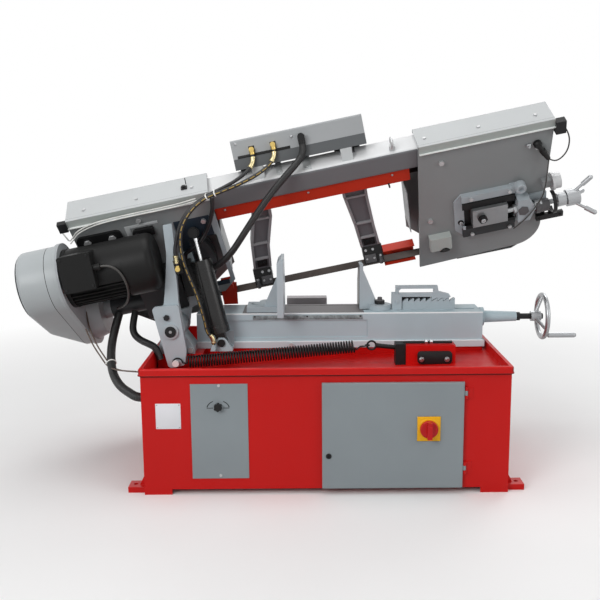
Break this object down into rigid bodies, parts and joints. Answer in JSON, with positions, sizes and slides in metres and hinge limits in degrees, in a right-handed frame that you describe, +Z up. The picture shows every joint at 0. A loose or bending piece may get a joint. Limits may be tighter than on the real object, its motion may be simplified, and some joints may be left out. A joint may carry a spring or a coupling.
{
  "type": "metal cutting band saw",
  "caption": "Pivoting horizontal band saw for metal on a sheet cabinet with chip tray, vise and handwheel, feed cylinder, counter spring, motor drive and blade tension unit.",
  "frame": {"origin": "on the floor at the middle of the four anchor holes", "axes": "+X along the cabinet from the arm pivot towards the vise handwheel, +Y towards the operator, +Z up"},
  "size_m": [2.0734, 0.7603, 1.3123],
  "materials": {
    "red_paint": "satin",
    "panel_grey": "satin",
    "bed_grey": "satin",
    "arm_grey": "satin",
    "cover_white": "satin",
    "charcoal": "satin",
    "black_steel": "matte",
    "steel": "satin",
    "chrome": "polished",
    "brass": "satin",
    "iron": "matte",
    "rubber": "matte",
    "black_plastic": "matte",
    "red_plastic": "gloss",
    "green_plastic": "gloss",
    "guard_red": "satin"
  },
  "bodies": {
    "base": {"cabinet": "red_paint", "chip_tray": "red_paint", "access_panel": "panel_grey", "bed": "bed_grey", "base_fasteners": "steel", "pivot_pedestal": "bed_grey", "pivot_shaft": "steel", "cylinder_clevis": "bed_grey", "counter_spring": "black_steel", "eye_bolt": "black_steel", "spring_anchor": "red_paint", "crossing_hoses": "rubber"},
    "arm": {"pivot_cheeks": "arm_grey", "spring_lever": "bed_grey", "drive_plate": "arm_grey", "idler_plate": "arm_grey", "drive_top_cover": "cover_white", "idler_top_cover": "cover_white", "saw_beam": "cover_white", "blade_guards": "guard_red", "left_guide_arm": "black_steel", "left_guide_head": "black_steel", "blade": "steel", "tension_frame": "steel", "gearbox": "arm_grey", "v_belt": "rubber", "belt_cover": "cover_white", "motor_body": "charcoal", "fan_cover": "charcoal", "control_box": "panel_grey", "hydraulic_fittings": "brass", "arm_cables": "rubber", "arm_fasteners": "steel"},
    "cylinder": {"feed_cylinder": "charcoal"},
    "rod": {"piston_rod": "chrome"},
    "drive": {"drive_wheel": "iron", "drive_shaft": "steel"},
    "worm": {"worm_shaft": "steel"},
    "motor_rotor": {"motor_shaft": "steel"},
    "tension": {"idler_slide": "steel"},
    "idler": {"idler_wheel": "iron"},
    "tension_screw": {"tension_handle": "chrome"},
    "right_guide": {"right_guide_arm": "black_steel", "right_guide_head": "black_steel", "idler_guard": "guard_red"},
    "drive_cover": {"drive_front_cover": "arm_grey"},
    "idler_cover": {"idler_front_cover": "arm_grey"},
    "door": {"electrical_door": "panel_grey"},
    "main_switch": {"switch_knob": "red_plastic"},
    "panel_latch": {"panel_knob": "black_plastic"},
    "angle_jaw": {"fixed_jaw": "bed_grey"},
    "vise": {"jaw_carriage": "bed_grey"},
    "vise_pawl": {"pawl": "bed_grey"},
    "moving_jaw": {"movable_jaw": "bed_grey"},
    "screw": {"lead_screw": "chrome", "handwheel": "chrome"},
    "grip": {"handle_grip": "black_plastic"},
    "stop": {"stop_button": "red_plastic"},
    "start": {"start_button": "green_plastic"},
    "flow": {"flow_knob": "black_plastic"}
  },
  "joints": [
    {"name": "arm_lift", "type": "hinge", "parent": "base", "child": "arm", "pos_m": [-0.545, 0, 0.519], "axis": [0, -1, 0], "range_deg": [-11.7, 25], "deforming": ["counter_spring", "crossing_hoses"]},
    {"name": "cylinder_swing", "type": "hinge", "parent": "base", "child": "cylinder", "pos_m": [-0.372, -0.045, 0.463], "axis": [0, -1, 0], "range_deg": [-9, 19]},
    {"name": "rod_slide", "type": "slide", "parent": "cylinder", "child": "rod", "axis": [-0.2262, 0, 0.9741], "range_m": [-0.031, 0.065]},
    {"name": "drive_spin", "type": "hinge", "parent": "arm", "child": "drive", "pos_m": [-0.60318, 0.13528, 0.72339], "axis": [0.1124, -0.8192, -0.5625], "continuous": true},
    {"name": "worm_spin", "type": "hinge", "parent": "arm", "child": "worm", "pos_m": [-0.58118, 0.07959, 0.61333], "axis": [0.9806, 0, 0.1959], "continuous": true},
    {"name": "motor_spin", "type": "hinge", "parent": "arm", "child": "motor_rotor", "pos_m": [-0.88927, -0.10902, 0.71089], "axis": [0.9806, 0, 0.1959], "continuous": true},
    {"name": "blade_tension", "type": "slide", "parent": "arm", "child": "tension", "axis": [0.9806, 0, 0.1959], "range_m": [-0.012, 0]},
    {"name": "idler_spin", "type": "hinge", "parent": "tension", "child": "idler", "pos_m": [0.57552, 0.13528, 0.95892], "axis": [0.1124, -0.8192, -0.5625], "continuous": true},
    {"name": "tension_turn", "type": "hinge", "parent": "arm", "child": "tension_screw", "pos_m": [0.79669, 0.05992, 0.9493], "axis": [0.9806, 0, 0.1959], "range_deg": [-1440, 0]},
    {"name": "guide_slide", "type": "slide", "parent": "arm", "child": "right_guide", "axis": [0.9806, 0, 0.1959], "range_m": [-0.16, 0]},
    {"name": "drive_cover_hinge", "type": "hinge", "parent": "arm", "child": "drive_cover", "pos_m": [-0.66045, 0.00876, 1.01001], "axis": [0.9806, 0, 0.1959], "range_deg": [0, 100]},
    {"name": "idler_cover_hinge", "type": "hinge", "parent": "arm", "child": "idler_cover", "pos_m": [0.51825, 0.00876, 1.24554], "axis": [0.9806, 0, 0.1959], "range_deg": [0, 100]},
    {"name": "door_hinge", "type": "hinge", "parent": "base", "child": "door", "pos_m": [0.466, -0.358, 0.2], "axis": [0, 0, 1], "range_deg": [0, 110]},
    {"name": "main_switch_turn", "type": "hinge", "parent": "door", "child": "main_switch", "pos_m": [0.342, -0.37, 0.232], "axis": [0, -1, 0], "range_deg": [0, 90]},
    {"name": "panel_latch_turn", "type": "hinge", "parent": "base", "child": "panel_latch", "pos_m": [-0.36, -0.355, 0.31], "axis": [0, -1, 0], "range_deg": [0, 90]},
    {"name": "angle_jaw_swivel", "type": "hinge", "parent": "base", "child": "angle_jaw", "pos_m": [-0.195, 0.16, 0.565], "axis": [0, 0, 1], "range_deg": [0, 30]},
    {"name": "vise_slide", "type": "slide", "parent": "base", "child": "vise", "axis": [1, 0, 0], "range_m": [-0.04, 0.01]},
    {"name": "vise_screw_turn", "type": "hinge", "parent": "base", "child": "screw", "pos_m": [0.6, 0.08, 0.524], "axis": [1, 0, 0], "range_deg": [-2400, 600]},
    {"name": "grip_spin", "type": "hinge", "parent": "screw", "child": "grip", "pos_m": [0.9, 0.03186, 0.46011], "axis": [1, 0, 0], "continuous": true},
    {"name": "pawl_lift", "type": "hinge", "parent": "vise", "child": "vise_pawl", "pos_m": [0.279, 0.08, 0.586], "axis": [0, -1, 0], "range_deg": [0, 40]},
    {"name": "moving_jaw_swivel", "type": "hinge", "parent": "vise", "child": "moving_jaw", "pos_m": [0.215, 0.08, 0.565], "axis": [0, 0, 1], "range_deg": [0, 30]},
    {"name": "stop_press", "type": "slide", "parent": "arm", "child": "stop", "axis": [0, -1, 0], "range_m": [0, 0.005], "stiffness_N_per_m": 900},
    {"name": "start_press", "type": "slide", "parent": "arm", "child": "start", "axis": [0, -1, 0], "range_m": [0, 0.004], "stiffness_N_per_m": 900},
    {"name": "flow_turn", "type": "hinge", "parent": "arm", "child": "flow", "pos_m": [-0.21345, 0.062, 1.15632], "axis": [0, -1, 0], "range_deg": [-135, 135]}
  ],
  "couplings": [
    {"joint": "cylinder_swing", "follows": "arm_lift", "ratio": 0.74},
    {"joint": "rod_slide", "follows": "arm_lift", "m_per_rad": 0.146},
    {"joint": "worm_spin", "follows": "drive_spin", "ratio": 30},
    {"joint": "motor_spin", "follows": "drive_spin", "ratio": 45},
    {"joint": "idler_spin", "follows": "drive_spin", "ratio": 1},
    {"joint": "tension_turn", "follows": "blade_tension", "rad_per_m": 2094.4},
    {"joint": "vise_screw_turn", "follows": "vise_slide", "rad_per_m": 1047.2}
  ]
}
